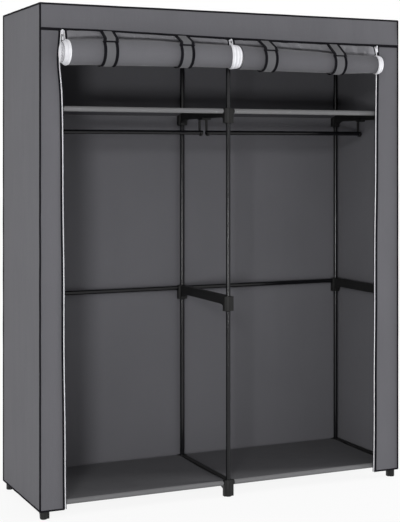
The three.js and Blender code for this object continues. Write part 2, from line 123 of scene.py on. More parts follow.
class Shader:
    """The nodes of one material or world, built round the shader it starts with."""

    def __init__(self, owner, first="Principled BSDF"):
        self.owner = owner
        self.owner.use_nodes = True
        self.nodes = owner.node_tree.nodes
        self.links = owner.node_tree.links
        self.surface = self.nodes[first]

    def plug(self, socket, value):
        if isinstance(value, Value):
            self.links.new(value.socket, socket)
        else:
            socket.default_value = value

    def node(self, kind, settings, inputs, output=0):
        made = self.nodes.new(kind)
        for name, value in settings.items():
            setattr(made, name, value)
        for name, value in inputs.items():
            self.plug(made.inputs[name], value)
        return Value(self, made.outputs[output])

    def place(self, stretch=(1, 1, 1)):
        object_place = self.node("ShaderNodeTexCoord", {}, {}, "Object")
        return self.node("ShaderNodeMapping", {}, {"Vector": object_place, "Scale": stretch})

    def noise(self, scale, detail, stretch=(1, 1, 1)):
        inputs = {"Vector": self.place(stretch), "Scale": scale, "Detail": detail}
        return self.node("ShaderNodeTexNoise", {}, inputs)

    def cells(self, scale):
        return self.node("ShaderNodeTexVoronoi", {}, {"Vector": self.place(), "Scale": scale})

    def blend(self, share, one, other):
        factor, first_colour, second_colour, mixed_colour = 0, 6, 7, 2
        inputs = {factor: share, first_colour: (*one, 1), second_colour: (*other, 1)}
        return self.node("ShaderNodeMix", {"data_type": "RGBA"}, inputs, mixed_colour)

    def bump(self, height, strength, distance, normal=None):
        inputs = {"Height": height, "Strength": strength, "Distance": distance}
        if normal:
            inputs["Normal"] = normal
        return self.node("ShaderNodeBump", {}, inputs)

    def finish(self, **inputs):
        for name, value in inputs.items():
            self.plug(self.surface.inputs[name.replace("_", " ")], value)
        return self.owner


def tinted(colour, share):
    return tuple(part * share for part in colour)


def ranged(value, low, high):
    """A value that runs from 0 to 1, made to run from low to high."""
    return value * (high - low) + low


def cloth_material(name, colour, crease):
    shader = Shader(bpy.data.materials.new(name))
    fibres = shader.noise(scale=950, detail=3)
    dots = shader.cells(scale=430)
    faded = shader.noise(scale=2.6, detail=2)
    creases = shader.noise(scale=7.5, detail=4, stretch=(1, 1, 0.3))
    faded_share, fibre_share = 0.55, 0.45
    darkest, palest = 0.8, 1.2
    fibre_height = 0.5
    tone = faded * faded_share + fibres * fibre_share
    folds = shader.bump(creases, strength=crease, distance=0.009)
    return shader.finish(
        Base_Color=shader.blend(tone, tinted(colour, darkest), tinted(colour, palest)),
        Roughness=ranged(fibres, 0.8, 0.96),
        Normal=shader.bump(fibres * fibre_height + dots, strength=0.5, distance=0.0004, normal=folds),
        Sheen_Weight=0.08,
        Sheen_Roughness=0.5,
        Specular_IOR_Level=0.12,
    )


cover_colour = (0.106, 0.105, 0.115)
cover_cloth = cloth_material("cover_cloth", cover_colour, crease=0.45)
cloth_thickness = 0.0012
cover_low, cover_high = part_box("cover_top")
hem_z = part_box("cover_left")[0].z
seam_z, top_z = cover_low.z, cover_high.z
front_y, back_y = cover_low.y, cover_high.y
half_width = cover_high.x
hands = ((-1, "left"), (1, "right"))
upright_rows = 110
# Each flap's free edge: its X at the seam and at the hem, and the sway of the cut
flap_edges = {-1: (-0.6345, -0.6202), 1: (0.612, 0.600)}
edge_sway = 0.0012
long_sway, short_sway = 4.0, 9.0
# The left flap's edge is pulled outwards beside the roll
edge_pull, edge_pull_z, edge_pull_reach = 0.0075, 1.54, 0.075
# The header's lower edge sags towards the right, and stands a little forward where it does
header_sag, header_sag_from, header_sag_to = 0.0120, -0.50, 0.40
header_sag_ease = 1.2
header_stands_out = 0.0036
header_edge_steps = 40
# Folds a metre across a panel and up it, broad and fine
broad_folds = (5.0, 1.1)
fine_folds = (15.0, 3.4)
fine_fold_share = 0.35
fine_fold_seed = 9.0
# How far each kind of panel stands out of its plane, and how deep its waves are
panel_waves = {
    "side": (0.001, 0.0028),
    "flap": (0.0005, 0.0022),
    "back": (0.001, 0.003),
    "top": (0.0, 0.0015),
    "header": (0.0006, 0.0018),
}
# Keeps a rounding error from making a square root fail
float_slack = 1e-9
sharp_angle = math.radians(40)


def sheet_mesh(place, columns, rows, material_at=None):
    """A flat grid whose points go where place() puts them; across and up run from 0 to 1.

    Each face takes the piece's material whose number material_at() gives.
    """
    half = 0.5
    mesh = bmesh.new()
    bmesh.ops.create_grid(mesh, x_segments=columns, y_segments=rows, size=half)
    for face in mesh.faces:
        middle = face.calc_center_median()
        face.material_index = int(material_at(middle.x + half, middle.y + half)) if material_at else 0
    for point in mesh.verts:
        point.co = place(point.co.x + half, point.co.y + half)
    return mesh


def thickened(mesh, thickness):
    bmesh.ops.recalc_face_normals(mesh, faces=mesh.faces)
    bmesh.ops.solidify(mesh, geom=mesh.faces[:], thickness=thickness)
    bmesh.ops.recalc_face_normals(mesh, faces=mesh.faces)
    return mesh


def made_piece(name, mesh, material, body="root"):
    """The finished piece; one without a body is left unattached."""
    for face in mesh.faces:
        face.smooth = True
    for edge in mesh.edges:
        edge.smooth = not (edge.is_manifold and edge.calc_face_angle() > sharp_angle)
    data = bpy.data.meshes.new(name)
    mesh.to_mesh(data)
    mesh.free()
    for each in material if isinstance(material, list) else [material]:
        data.materials.append(each)
    piece = bpy.data.objects.new(name, data)
    bpy.context.scene.collection.objects.link(piece)
    if body:
        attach(piece, body)
    return piece


def mixed(start, end, share):
    return start + (end - start) * share


def clamped(share):
    return min(max(share, 0), 1)


def wave(along, above, seed):
    """Shallow folds, longer upwards than across, from about -1 to 1."""
    broad = noise.noise(Vector((along * broad_folds[0], above * broad_folds[1], seed)))
    fine = noise.noise(Vector((along * fine_folds[0], above * fine_folds[1], seed + fine_fold_seed)))
    return broad + fine_fold_share * fine


def billow(part, across, up, waves):
    """How far the cloth of a panel stands out of its plane: it is held flat along its edges."""
    stands_out, depth = panel_waves[part]
    free = math.sqrt(math.sin(math.pi * across) * math.sin(math.pi * up) + float_slack)
    return (stands_out + depth * waves) * free


def flap_edge_x(sign, z):
    """Where a flap's free edge runs: a straight lean, a little sway, and a pull beside the left roll."""
    top_edge, hem_edge = flap_edges[sign]
    straight = mixed(hem_edge, top_edge, (z - hem_z) / (seam_z - hem_z))
    sway = edge_sway * math.sin(z * short_sway) * math.sin(z * long_sway + sign)
    pull = edge_pull * math.exp(-(((z - edge_pull_z) / edge_pull_reach) ** 2)) if sign < 0 else 0
    return straight + sway - pull


def sag_share(x):
    share = clamped((x - header_sag_from) / (header_sag_to - header_sag_from))
    return math.sin(math.pi / 2 * share) ** header_sag_ease


def header_edge(x):
    """Y and Z of the header's lower edge, where its piping is sewn on."""
    return front_y - header_stands_out * sag_share(x), seam_z - header_sag * sag_share(x)


def side_panel(sign):
    def place(across, up):
        y = mixed(back_y, front_y, across)
        z = mixed(hem_z, top_z - cloth_thickness, up)
        out = billow("side", across, up, wave(y, z, seed=3.0 * sign))
        return Vector((sign * (half_width + out), y, z))

    return sheet_mesh(place, columns=36, rows=upright_rows)


def front_flap(sign):
    def place(across, up):
        z = mixed(hem_z, seam_z, up)
        x = mixed(sign * half_width, flap_edge_x(sign, z), across)
        out = billow("flap", across, up, wave(x, z, seed=20.0 + sign))
        return Vector((x, front_y - out, z))

    return sheet_mesh(place, columns=12, rows=upright_rows)


def back_panel():
    def place(across, up):
        x = mixed(-half_width, half_width, across)
        z = mixed(hem_z, top_z - cloth_thickness, up)
        out = billow("back", across, up, wave(x, z, seed=40.0))
        return Vector((x, back_y + out, z))

    return sheet_mesh(place, columns=96, rows=upright_rows)


def top_panel():
    closer_waves = 3.0

    def place(across, up):
        x = mixed(-half_width, half_width, across)
        y = mixed(front_y, back_y, up)
        out = billow("top", across, up, wave(x, y * closer_waves, seed=60.0))
        return Vector((x, y, top_z + max(out, 0)))

    return sheet_mesh(place, columns=90, rows=30)


def header_panel():
    closer_waves = 2.0

    def place(across, up):
        x = mixed(-half_width, half_width, across)
        edge_y, edge_z = header_edge(x)
        z = mixed(edge_z, top_z, up)
        out = billow("header", across, up, wave(x, z * closer_waves, seed=80.0))
        return Vector((x, mixed(edge_y, front_y, math.sqrt(up)) - out, z))

    return sheet_mesh(place, columns=120, rows=12)


cover_width = cover_high.x - cover_low.x
cover_depth = back_y - front_y
cover_height = top_z - hem_z
edge_shares = [step / header_edge_steps for step in range(header_edge_steps + 1)]
edge_heights = [header_edge(mixed(-half_width, half_width, share))[1] for share in edge_shares]
mean_edge_z = sum(edge_heights) / len(edge_heights)
for sign, side in hands:
    flap_width = abs(sign * half_width - sum(flap_edges[sign]) / 2)
    for part, mesh, flat in (
        ("side", side_panel(sign), (cover_depth, cover_height)),
        ("flap", front_flap(sign), (flap_width, seam_z - hem_z)),
    ):
        cloth = thickened(mesh, cloth_thickness)
        panel = made_piece(f"{part}_cloth_{side}", cloth, cover_cloth)
        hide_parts(f"cover_{side}")

for name, mesh, node, flat, held in (
    ("back_cloth", back_panel(), "cover_back", (cover_width, cover_height), "hung"),
    ("top_cloth", top_panel(), "cover_top", (cover_width, cover_depth), "laid"),
    ("header_cloth", header_panel(), "cover_top", (cover_width, top_z - mean_edge_z), "hung"),
):
    panel = made_piece(name, thickened(mesh, cloth_thickness), cover_cloth)
    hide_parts(node)

# Piping and hem binding
# A thin black cord wrapped in black tape is sewn into every corner seam of the cover and under the
# header, and the same tape is folded over the bottom edges.


def bound_tape_material(name, colour):
    shader = Shader(bpy.data.materials.new(name))
    weave = shader.noise(scale=1400, detail=2)
    worn = shader.noise(scale=24, detail=3)
    darkest, palest = 0.7, 1.4
    return shader.finish(
        Base_Color=shader.blend(worn, tinted(colour, darkest), tinted(colour, palest)),
        Roughness=ranged(weave, 0.75, 0.9),
        Normal=shader.bump(weave, strength=0.6, distance=0.0003),
        Specular_IOR_Level=0.06,
    )


black_tape = bound_tape_material("black_tape", (0.0065, 0.0062, 0.0080))
corner_piping_radius = 0.0033
header_piping_radius = 0.0050
hem_binding_radius = 0.0030
round_cord = 3
weld = 1e-6
wander_pitch = 0.3
seam_wander = 0.0006
header_seam_wander = 0.0008
flap_hem_wander = 0.0004
seam_inset = 0.002
# Noise vectors differ from run to run until they are given a seed
wander_seed = 3
noise.seed_set(wander_seed)


def piped(name, paths, radius, material, body="root"):
    """Round cords along paths, each a list of points."""
    curve = bpy.data.curves.new(name, "CURVE")
    curve.dimensions = "3D"
    curve.bevel_depth = radius
    curve.bevel_resolution = round_cord
    curve.use_fill_caps = True
    for path in paths:
        line = curve.splines.new("POLY")
        line.points.add(len(path) - 1)
        for point, place in zip(line.points, path):
            point.co = (*place, 1)
    drawn = bpy.data.objects.new(name, curve)
    mesh = bmesh.new()
    mesh.from_mesh(drawn.to_mesh())
    bpy.data.objects.remove(drawn)
    bpy.data.curves.remove(curve)
    bmesh.ops.remove_doubles(mesh, verts=mesh.verts, dist=weld)
    bmesh.ops.recalc_face_normals(mesh, faces=mesh.faces)
    return made_piece(name, mesh, material, body)


def line_points(start, end, count, sway, seed):
    """Points on a line that wanders a little, as a seam does."""
    points = []
    for step in range(count + 1):
        share = step / count
        wander = noise.noise_vector(Vector((share * count * wander_pitch, seed, 0.0))) * sway
        points.append(Vector(start).lerp(Vector(end), share) + wander * math.sin(math.pi * share))
    return points


left_x, right_x = cover_low.x, cover_high.x
uprights = [
    line_points((x, y, hem_z), (x, y, top_z), count=60, sway=seam_wander, seed=x + y)
    for x in (left_x, right_x)
    for y in (front_y, back_y)
]
top_corners = [(left_x, front_y), (right_x, front_y), (right_x, back_y), (left_x, back_y)]
top_edges = [
    line_points((*start, top_z), (*end, top_z), count=50, sway=seam_wander, seed=start[0] + end[1])
    for start, end in zip(top_corners, top_corners[1:] + top_corners[:1])
]
piped("corner_piping", uprights + top_edges, corner_piping_radius, black_tape)
seam_ends = ((left_x + seam_inset, 0, 0), (right_x - seam_inset, 0, 0))
straight_seam = line_points(*seam_ends, count=90, sway=header_seam_wander, seed=5.0)
header_seam = [point + Vector((0, *header_edge(point.x))) for point in straight_seam]
piped("header_piping", [header_seam], header_piping_radius, black_tape)
# Each hem from a corner: its two ends, and its points, wander and seed
hem_lines = [
    line_points((*start, hem_z), (*end, hem_z), count, sway, seed)
    for start, end, count, sway, seed in (
        ((left_x, back_y), (left_x, front_y), 30, seam_wander, 1.0),
        ((right_x, back_y), (right_x, front_y), 30, seam_wander, 2.0),
        ((left_x, back_y), (right_x, back_y), 60, seam_wander, 3.0),
        ((left_x, front_y), (flap_edges[-1][1], front_y), 8, flap_hem_wander, 4.0),
        ((right_x, front_y), (flap_edges[1][1], front_y), 8, flap_hem_wander, 6.0),
    )
]
piped("hem_binding", hem_lines, hem_binding_radius, black_tape)

# Zip tapes and chains on the flaps
# Black woven tape is sewn along the free edge of each flap, and carries one half of a white zip:
# a row of small moulded teeth on a thin white cord.
tape_widths = {-1: 0.0125, 1: 0.0160}
tape_overhang = 0.0045
tape_thickness = 0.0008
zip_inset = 0.001
zip_cord_radius = 0.0016
zip_cord_steps = 60
chain_half_width = 0.003
tooth_pitch = 0.0026
tooth_size = Vector((0.0035, 0.0026, 0.0015))
teeth_past_cord = 0.0006
# How far tape, cord and teeth lie in front of the flap
tape_out, tape_crown, cord_out, teeth_out = 0.0016, 0.0006, 0.0018, 0.0022


def zip_white_material():
    shader = Shader(bpy.data.materials.new("zip_white"))
    grime = shader.noise(scale=60, detail=3)
    grain = shader.noise(scale=2200, detail=1)
    return shader.finish(
        Base_Color=shader.blend(grime, (0.54, 0.54, 0.57), (0.74, 0.74, 0.77)),
        Roughness=ranged(grime, 0.32, 0.52),
        Normal=shader.bump(grain, strength=0.15, distance=0.0001),
    )


zip_white = zip_white_material()


def chain_x(sign, z):
    return flap_edge_x(sign, z) - sign * chain_half_width


def zip_top(sign):
    return header_edge(chain_x(sign, seam_z))[1] - zip_inset


def flap_tape(sign):
    def place(across, up):
        z = mixed(hem_z, zip_top(sign), up)
        x = chain_x(sign, z) + sign * (tape_widths[sign] * across - tape_overhang)
        return Vector((x, front_y - tape_out - tape_crown * math.sin(math.pi * across), z))

    return thickened(sheet_mesh(place, columns=3, rows=upright_rows), tape_thickness)


def flap_teeth(sign):
    mesh = bmesh.new()
    size = Matrix.Diagonal((*tooth_size, 1))
    for tooth in range(round((zip_top(sign) - hem_z) / tooth_pitch)):
        z = hem_z + (tooth + 0.5) * tooth_pitch
        centre = Vector((chain_x(sign, z) - sign * teeth_past_cord, front_y - teeth_out, z))
        bmesh.ops.create_cube(mesh, size=1, matrix=Matrix.Translation(centre) @ size)
    return mesh


for sign, side in hands:
    made_piece(f"zip_tape_{side}", flap_tape(sign), black_tape)
    made_piece(f"zip_teeth_{side}", flap_teeth(sign), zip_white)
    heights = [mixed(hem_z, zip_top(sign), step / zip_cord_steps) for step in range(zip_cord_steps + 1)]
    cord = [Vector((chain_x(sign, z), front_y - cord_out, z)) for z in heights]
    piped(f"zip_cord_{side}", [cord], zip_cord_radius, zip_white)

# Steel tubes
# The posts, cross tubes and hanging rails are thin round steel tube, 16 mm across, powder-coated
# black with a half gloss. Their ends are cut square and slightly broken at the rim.


def powder_coat_material():
    shader = Shader(bpy.data.materials.new("black_powder_coat"))
    peel = shader.noise(scale=700, detail=2)
    rubbed = shader.noise(scale=18, detail=4)
    return shader.finish(
        Base_Color=shader.blend(rubbed, (0.002, 0.002, 0.003), (0.007, 0.007, 0.008)),
        Roughness=ranged(rubbed, 0.15, 0.21),
        Normal=shader.bump(peel, strength=0.12, distance=0.0002),
        Specular_IOR_Level=0.28,
    )


black_coat = powder_coat_material()
tube_wall = 0.0006
tube_rim = 0.0002
tube_sides = 40


def turned(profile, start, direction):
    """A closed profile of (distance along, radius) spun round a line through start."""
    mesh = bmesh.new()
    points = [mesh.verts.new((radius, 0, along)) for along, radius in profile]
    edges = [mesh.edges.new(pair) for pair in zip(points, points[1:] + points[:1])]
    bmesh.ops.spin(
        mesh,
        geom=points + edges,
        cent=(0, 0, 0),
        axis=(0, 0, 1),
        angle=math.tau,
        steps=tube_sides,
        use_merge=True,
    )
    turn = Vector((0, 0, 1)).rotation_difference(Vector(direction)).to_matrix().to_4x4()
    mesh.transform(Matrix.Translation(start) @ turn)
    bmesh.ops.remove_doubles(mesh, verts=mesh.verts, dist=weld)
    bmesh.ops.recalc_face_normals(mesh, faces=mesh.faces)
    return mesh


def steel_tube(start, direction, length, radius):
    inner = radius - tube_wall
    profile = [
        (0, inner),
        (0, radius - tube_rim),
        (tube_rim, radius),
        (length - tube_rim, radius),
        (length, radius - tube_rim),
        (length, inner),
    ]
    return turned(profile, start, direction)


def body_of_node(node):
    return next(body for body, nodes in frame["record"]["behaviour"]["bodies"].items() if node in nodes)


tube_nodes = [n for n in sorted(frame["nodes"]) if "_post_" in n or "_tube_" in n or "rail" in n]
for node in tube_nodes:
    low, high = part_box(node)
    size = high - low
    direction = Vector((0, 0, 1) if size.z > size.x else (1, 0, 0))
    length = max(size)
    start = (low + high) / 2 - direction * length / 2
    mesh = steel_tube(start, direction, length, radius=size.y / 2)
    tube = made_piece(f"{node}_tube", mesh, black_coat, body_of_node(node))
    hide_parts(node)

# Moulded arms and feet
# Each side of the frame is tied at four heights by an arm of black plastic. It is moulded in one
# piece with its post sleeves and cross sockets, and its edges are slightly rounded.


def moulded_plastic_material():
    shader = Shader(bpy.data.materials.new("black_moulding"))
    grain = shader.noise(scale=1100, detail=2)
    flow = shader.noise(scale=14, detail=3, stretch=(1, 1, 0.4))
    return shader.finish(
        Base_Color=shader.blend(flow, (0.006, 0.006, 0.006), (0.013, 0.013, 0.013)),
        Roughness=ranged(grain, 0.42, 0.57),
        Normal=shader.bump(grain, strength=0.25, distance=0.0002),
        Specular_IOR_Level=0.2,
    )


black_moulding = moulded_plastic_material()
moulding_round = 0.0009
loose_triangle_weld = 2e-6
flat_within = math.radians(1)
rounded_above = math.radians(30)


def rounded_copy(node, width):
    """A merged copy of a CAD solid with its sharp edges rounded."""
    mesh = bmesh.new()
    mesh.from_mesh(frame["nodes"][node].data)
    bmesh.ops.remove_doubles(mesh, verts=mesh.verts, dist=loose_triangle_weld)
    bmesh.ops.dissolve_limit(mesh, angle_limit=flat_within, verts=mesh.verts, edges=mesh.edges)
    sharp = [edge for edge in mesh.edges if edge.is_manifold and edge.calc_face_angle() > rounded_above]
    bmesh.ops.bevel(
        mesh,
        geom=sharp,
        offset=width,
        segments=2,
        profile=0.5,
        affect="EDGES",
        material=-1,
        clamp_overlap=True,
    )
    bmesh.ops.recalc_face_normals(mesh, faces=mesh.faces)
    return mesh


arm_nodes = [node for node in sorted(frame["nodes"]) if "_arm_" in node]
for node in arm_nodes:
    arm = made_piece(f"{node}_moulding", rounded_copy(node, moulding_round), black_moulding)
    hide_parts(node)

# Cloth shelves
# A shelf is one piece of the same grey cloth, sewn into a sleeve along its front and back edges.
# A steel tube runs through each sleeve, and the cloth sags a little between the two. The deck's
# cloth is painted darker, as painted shade, and the sleeves' cloth paler, as painted light.
hem_radius = 0.0095
hem_wrap = 210
hem_turn_steps = 18
hem_allowance = 0.026
hem_seam_layers = 2.2
deck_steps = 26
shelf_sag = 0.004
shelf_sag_ease = 0.8
shelf_ripple = 0.0016
shelf_dip = 0.0008
shelf_seeds_a_metre = 30
# The sleeves end short of the arms' sockets, and the deck between them fills the bay
sleeve_notch = 0.012
sleeve_depth = 0.0135
deck_inset = 0.0004
hem_tube_radius = 0.008
hem_tube_inset = 0.008
# Two tones of the one cloth: the deck painted darker, as painted shade, the sleeves paler, as painted light
shelf_cloth = cloth_material("shelf_cloth", (0.045, 0.044, 0.051), crease=0.3)
hem_cloth = cloth_material("hem_cloth", (0.142, 0.142, 0.146), crease=0.2)


def hem_arc(centre_y, centre_z, start_angle):
    """Y and Z of the cloth round one tube, from an angle in degrees."""
    radius = hem_radius - cloth_thickness / 2
    points = []
    for step in range(hem_turn_steps + 1):
        angle = math.radians(start_angle - hem_wrap * step / hem_turn_steps)
        points.append((centre_y + radius * math.cos(angle), centre_z + radius * math.sin(angle)))
    return points


def shelf_path(front, back, axis_z):
    """Y and Z along the cloth, from the seam behind the front tube to the seam before the back one."""
    deck_z = axis_z + hem_radius - cloth_thickness / 2
    seam_under_deck = deck_z - hem_seam_layers * cloth_thickness
    deck = []
    for step in range(1, deck_steps):
        share = step / deck_steps
        sag = shelf_sag * math.sin(math.pi * share) ** shelf_sag_ease
        deck.append((mixed(front, back, share), deck_z - sag))
    front_hem = hem_arc(front, axis_z, start_angle=-60)
    back_hem = hem_arc(back, axis_z, start_angle=90)
    front_seam = (front + hem_allowance, seam_under_deck)
    back_seam = (back - hem_allowance, seam_under_deck)
    return [front_seam, *front_hem, *deck, *back_hem, back_seam]


def shelf_sheet(node):
    low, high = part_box(node)
    front, back = low.y + hem_radius, high.y - hem_radius
    axis_z = (low.z + high.z) / 2
    path = shelf_path(front, back, axis_z)
    closer_waves = 2.0

    def on_path(up):
        return path[round(up * (len(path) - 1))]

    def on_deck(y):
        return front + sleeve_depth < y < back - sleeve_depth

    def place(across, up):
        y, z = on_path(up)
        inset = deck_inset if on_deck(y) else sleeve_notch
        x = mixed(low.x + inset, high.x - inset, across)
        middle = math.sin(math.pi * clamped((y - front) / (back - front)))
        ripple = shelf_ripple * wave(x, y * closer_waves, seed=low.z * shelf_seeds_a_metre)
        return Vector((x, y, z + (ripple - shelf_dip) * middle))

    # The sleeves take the paler cloth: painted light
    def in_painted_light_hem(across, up):
        return not on_deck(on_path(up)[0])

    mesh = sheet_mesh(place, columns=60, rows=len(path) - 1, material_at=in_painted_light_hem)
    return thickened(mesh, cloth_thickness), (front, back, axis_z)


for node in ("bottom_shelf_left", "bottom_shelf_right", "upper_shelf_left", "upper_shelf_right"):
    mesh, (front, back, axis_z) = shelf_sheet(node)
    low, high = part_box(node)
    cloth = made_piece(f"{node}_cloth", mesh, [shelf_cloth, hem_cloth])
    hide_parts(node)
    hem_round = math.radians(hem_wrap) * hem_radius
    flat_depth = back - front + 2 * (hem_round + hem_allowance)
    tube_length = high.x - low.x - 2 * hem_tube_inset
    for place_name, y in (("front", front), ("back", back)):
        start = Vector((low.x + hem_tube_inset, y, axis_z))
        tube = steel_tube(start, (1, 0, 0), tube_length, hem_tube_radius)
        made_piece(f"{node}_{place_name}_tube", tube, black_coat)

# Rolled doors
# Each door is the same cloth with half a zip sewn along both upright edges. It is rolled up from
# the hem, and because those edges lean, the white zip shows as steps at the ends of the roll.
door_colour = (0.110, 0.109, 0.119)
# The right roll's cloth is painted darker than the left's, as painted shade
painted_shade_door_colour = (0.096, 0.095, 0.104)
door_cloths = {
    "left": cloth_material("door_cloth_left", door_colour, crease=0.35),
    "right": cloth_material("door_cloth_right", painted_shade_door_colour, crease=0.35),
}
joints = {joint["name"]: joint for joint in frame["joints"]}
rolled_door_length = 1.525
rolled_cloth_thickness = 0.0009
roll_turns = 9
loose_turns = 3
roll_core = 0.004
winding_ease = 1.25
sheet_end_angle = math.radians(-35)
# The cloth's edge lies this far inside the zip's, and the zip stops short of the hem by this many turns
zip_lap = 0.0008
bare_turns = 0.2
chain_thickness = 0.0022
chain_crown = 0.0016
tight_fill = 0.94
zip_steps_a_turn = 56
edge_turn_share = 0.12
# The loose turns' edges are drawn towards the end of the roll behind its front
edge_draw_share = 0.3
# Lumps and creases of the outermost turn: how many a metre along it and round it, and their depth
lump_along, lump_round, lump_depth = 9.0, 1.1, 0.0009
crease_along, crease_round, crease_depth = 34.0, 1.6, 0.0005
crease_seed = 4.0
dent_free_length = 0.06

# Along each roll, at even steps: its radius, and how far it lies above its axis. For each end: how
# far the outer turns' edges stand in from it, the width of the zip that shows on each, the step from
# one turn down to the next, and the first turn that shows its zip (3: none of the loose ones)
rolls = {
    "left": {
        "radii": (0.0440, 0.0466, 0.0458, 0.0424, 0.0410),
        "lifts": (-0.0045, 0.0, 0.0010, 0.0, -0.0010),
        "ends": (
            {
                "name": "outer",
                "edges": (0.0035, -0.0032, -0.0084, -0.0092),
                "zip": 0.0096,
                "step": 0.0034,
                "first": 0,
            },
            {
                "name": "inner",
                "edges": (0.0256, 0.0124, 0.0, 0.0),
                "zip": 0.0108,
                "step": 0.0012,
                "first": 0,
            },
        ),
    },
    "right": {
        "radii": (0.0430, 0.0422, 0.0402, 0.0366, 0.0328),
        "lifts": (0.0088, 0.0050, 0.0018, -0.0024, -0.0005),
        "ends": (
            {
                "name": "inner",
                "edges": (0.0, 0.0, 0.0, 0.0),
                "zip": 0.0120,
                "step": 0.0012,
                "first": 3,
            },
            {
                "name": "outer",
                "edges": (0.0105, 0.0, 0.0, 0.0),
                "zip": 0.0090,
                "step": 0.0016,
                "first": 0,
            },
        ),
    },
}
for side, roll in rolls.items():
    low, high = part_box(f"door_roll_{side}")
    roll["from"], roll["to"] = low.x, high.x
    roll["axis"] = Vector(joints[f"{side}_roll_spin"]["pos_m"])


def roll_share(roll, x):
    return clamped((x - roll["from"]) / (roll["to"] - roll["from"]))


def along(values, share):
    """The value at a share of the way along an evenly spaced row of them, with no kink between two."""
    place = share * (len(values) - 1)
    step = min(int(place), len(values) - 2)
    past = place - step
    return mixed(values[step], values[step + 1], past * past * (3 - 2 * past))


def roll_radius(roll, x):
    return along(roll["radii"], roll_share(roll, x))


def roll_centre(roll, x):
    return Vector((roll["axis"].y, roll["axis"].z + along(roll["lifts"], roll_share(roll, x))))


def on_roll(roll, x, radius, angle):
    y, z = roll_centre(roll, x) + radius * Vector((math.cos(angle), math.sin(angle)))
    return Vector((x, y, z))


def edge_step(end, turns):
    """How far a turn's edge stands in from the end of the roll; it changes at the back of each turn."""
    whole = int(turns)
    now, after = (end["edges"][min(turn, len(end["edges"]) - 1)] for turn in (whole, whole + 1))
    share = max(0.0, (turns - whole - 1 + edge_turn_share) / edge_turn_share)
    behind = 1 + math.cos(sheet_end_angle - turns * math.tau)
    stand_in = mixed(now, after, share)
    return stand_in - edge_draw_share * behind * max(stand_in, 0.0)


def turn_radius(roll, x, turns):
    """The outer turns lie loosely, one step apart, and the others fill the middle evenly."""
    step = mixed(roll["ends"][0]["step"], roll["ends"][1]["step"], roll_share(roll, x))
    outer = roll_radius(roll, x) - cloth_thickness / 2 - step * min(turns, loose_turns)
    inside = max(0.0, (turns - loose_turns) / (roll_turns - loose_turns))
    return mixed(outer, roll_core, inside)


def roll_dent(x, angle, turns):
    round_y, round_z = math.cos(angle) * lump_round, math.sin(angle) * lump_round
    lump = noise.noise(Vector((x * lump_along, round_y, round_z + turns)))
    crease = noise.noise(Vector((x * crease_along, angle * crease_round, crease_seed)))
    return lump_depth * (1 + lump) + crease_depth * (1 + crease)


def roll_sheet(roll):
    ends = roll["ends"]

    def place(across, up):
        turns = roll_turns * up**winding_ease
        start = roll["from"] + edge_step(ends[0], turns) + zip_lap
        end = roll["to"] - edge_step(ends[1], turns) - zip_lap
        x = mixed(start, end, across)
        angle = sheet_end_angle - turns * math.tau
        from_ends = min(across, 1 - across) * (end - start) / dent_free_length
        outer_only = max(0.0, 1 - turns) * min(1.0, from_ends)
        radius = turn_radius(roll, x, turns) - roll_dent(x, angle, turns) * outer_only
        return on_roll(roll, x, radius, angle)

    return thickened(sheet_mesh(place, columns=84, rows=330), rolled_cloth_thickness)


def rolled_zip(roll, side_end, first_turn, last_turn, thickness):
    """The white half zip along one door edge, wound with the cloth."""
    end = roll["ends"][side_end]
    turns_shown = last_turn - first_turn

    def place(across, up):
        turns = first_turn + turns_shown * up
        stand_in = edge_step(end, turns) + end["zip"] * across
        x = roll["from"] + stand_in if side_end == 0 else roll["to"] - stand_in
        angle = sheet_end_angle - turns * math.tau
        crown = chain_crown * math.sin(math.pi * across)
        depth = max(0.0, thickness - chain_thickness) / 2
        return on_roll(roll, x, turn_radius(roll, x, turns) + crown - depth, angle)

    return thickened(sheet_mesh(place, columns=6, rows=round(zip_steps_a_turn * turns_shown)), thickness)


for side, roll in rolls.items():
    body = f"{side}_roll"
    cloth = made_piece(f"rolled_door_{side}", roll_sheet(roll), door_cloths[side], body)
    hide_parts(f"door_roll_{side}")
    flat = (roll["to"] - roll["from"], rolled_door_length)
    for side_end, end in enumerate(roll["ends"]):
        name = f"rolled_zip_{side}_{end['name']}"
        if end["first"] < loose_turns:
            loose = rolled_zip(roll, side_end, end["first"], loose_turns, chain_thickness)
            made_piece(name, loose, zip_white, body)
        tight_from = turn_radius(roll, roll["from"] if side_end == 0 else roll["to"], loose_turns)
        pitch = (tight_from - roll_core) / (roll_turns - loose_turns)
        tight = rolled_zip(roll, side_end, loose_turns, roll_turns - bare_turns, pitch * tight_fill)
        made_piece(f"{name}_core", tight, zip_white, body)

# Door cloth above the rolls
# From the header seam the door hangs down behind its roll and runs into the outer turn. The short
# stretch that shows between the seam and the roll is loose and crinkled, and its cloth is painted
# paler than the roll's, as painted light.
# The same cloth as the doors, painted paler: painted light
painted_light_loose_cloth = cloth_material("loose_door_cloth", (0.150, 0.149, 0.160), crease=1.3)
loose_cloth_thickness = 0.0009
sheet_gap = 0.0005
sheet_bow = 0.003
line_steps, arc_steps = 44, 8
door_tape_width = 0.008
door_chain_radius = 0.0015
door_chain_out = 0.0012
# It puffs out below the seam, more where it is crinkled, and tucks in steeply just above the roll
puff = 0.0110
puff_crinkle = 0.0050
puff_rise = 0.010
puff_tuck = 0.007
# The top of the roll is seen along this slope
sight_slope = 0.09
# The tape holds the cloth flat this far from the edge
tape_hold = 0.022
# Crinkles a metre along the cloth and down it, and how much the broad ones slant
broad_crinkles, broad_crinkle_slant, broad_crinkle_seed = (30.0, 30.0), 22.0, 7.0
fine_crinkles, fine_crinkle_share, fine_crinkle_seed = (75.0, 50.0), 0.6, 2.0
# The cloth stretches from just below the header's edge to just above the roll's axis
behind_roll, over_roll = -1, 1


def touch_angle(point, centre, radius, way):
    reach = point - centre
    return math.atan2(reach.y, reach.x) + way * math.acos(radius / reach.length)


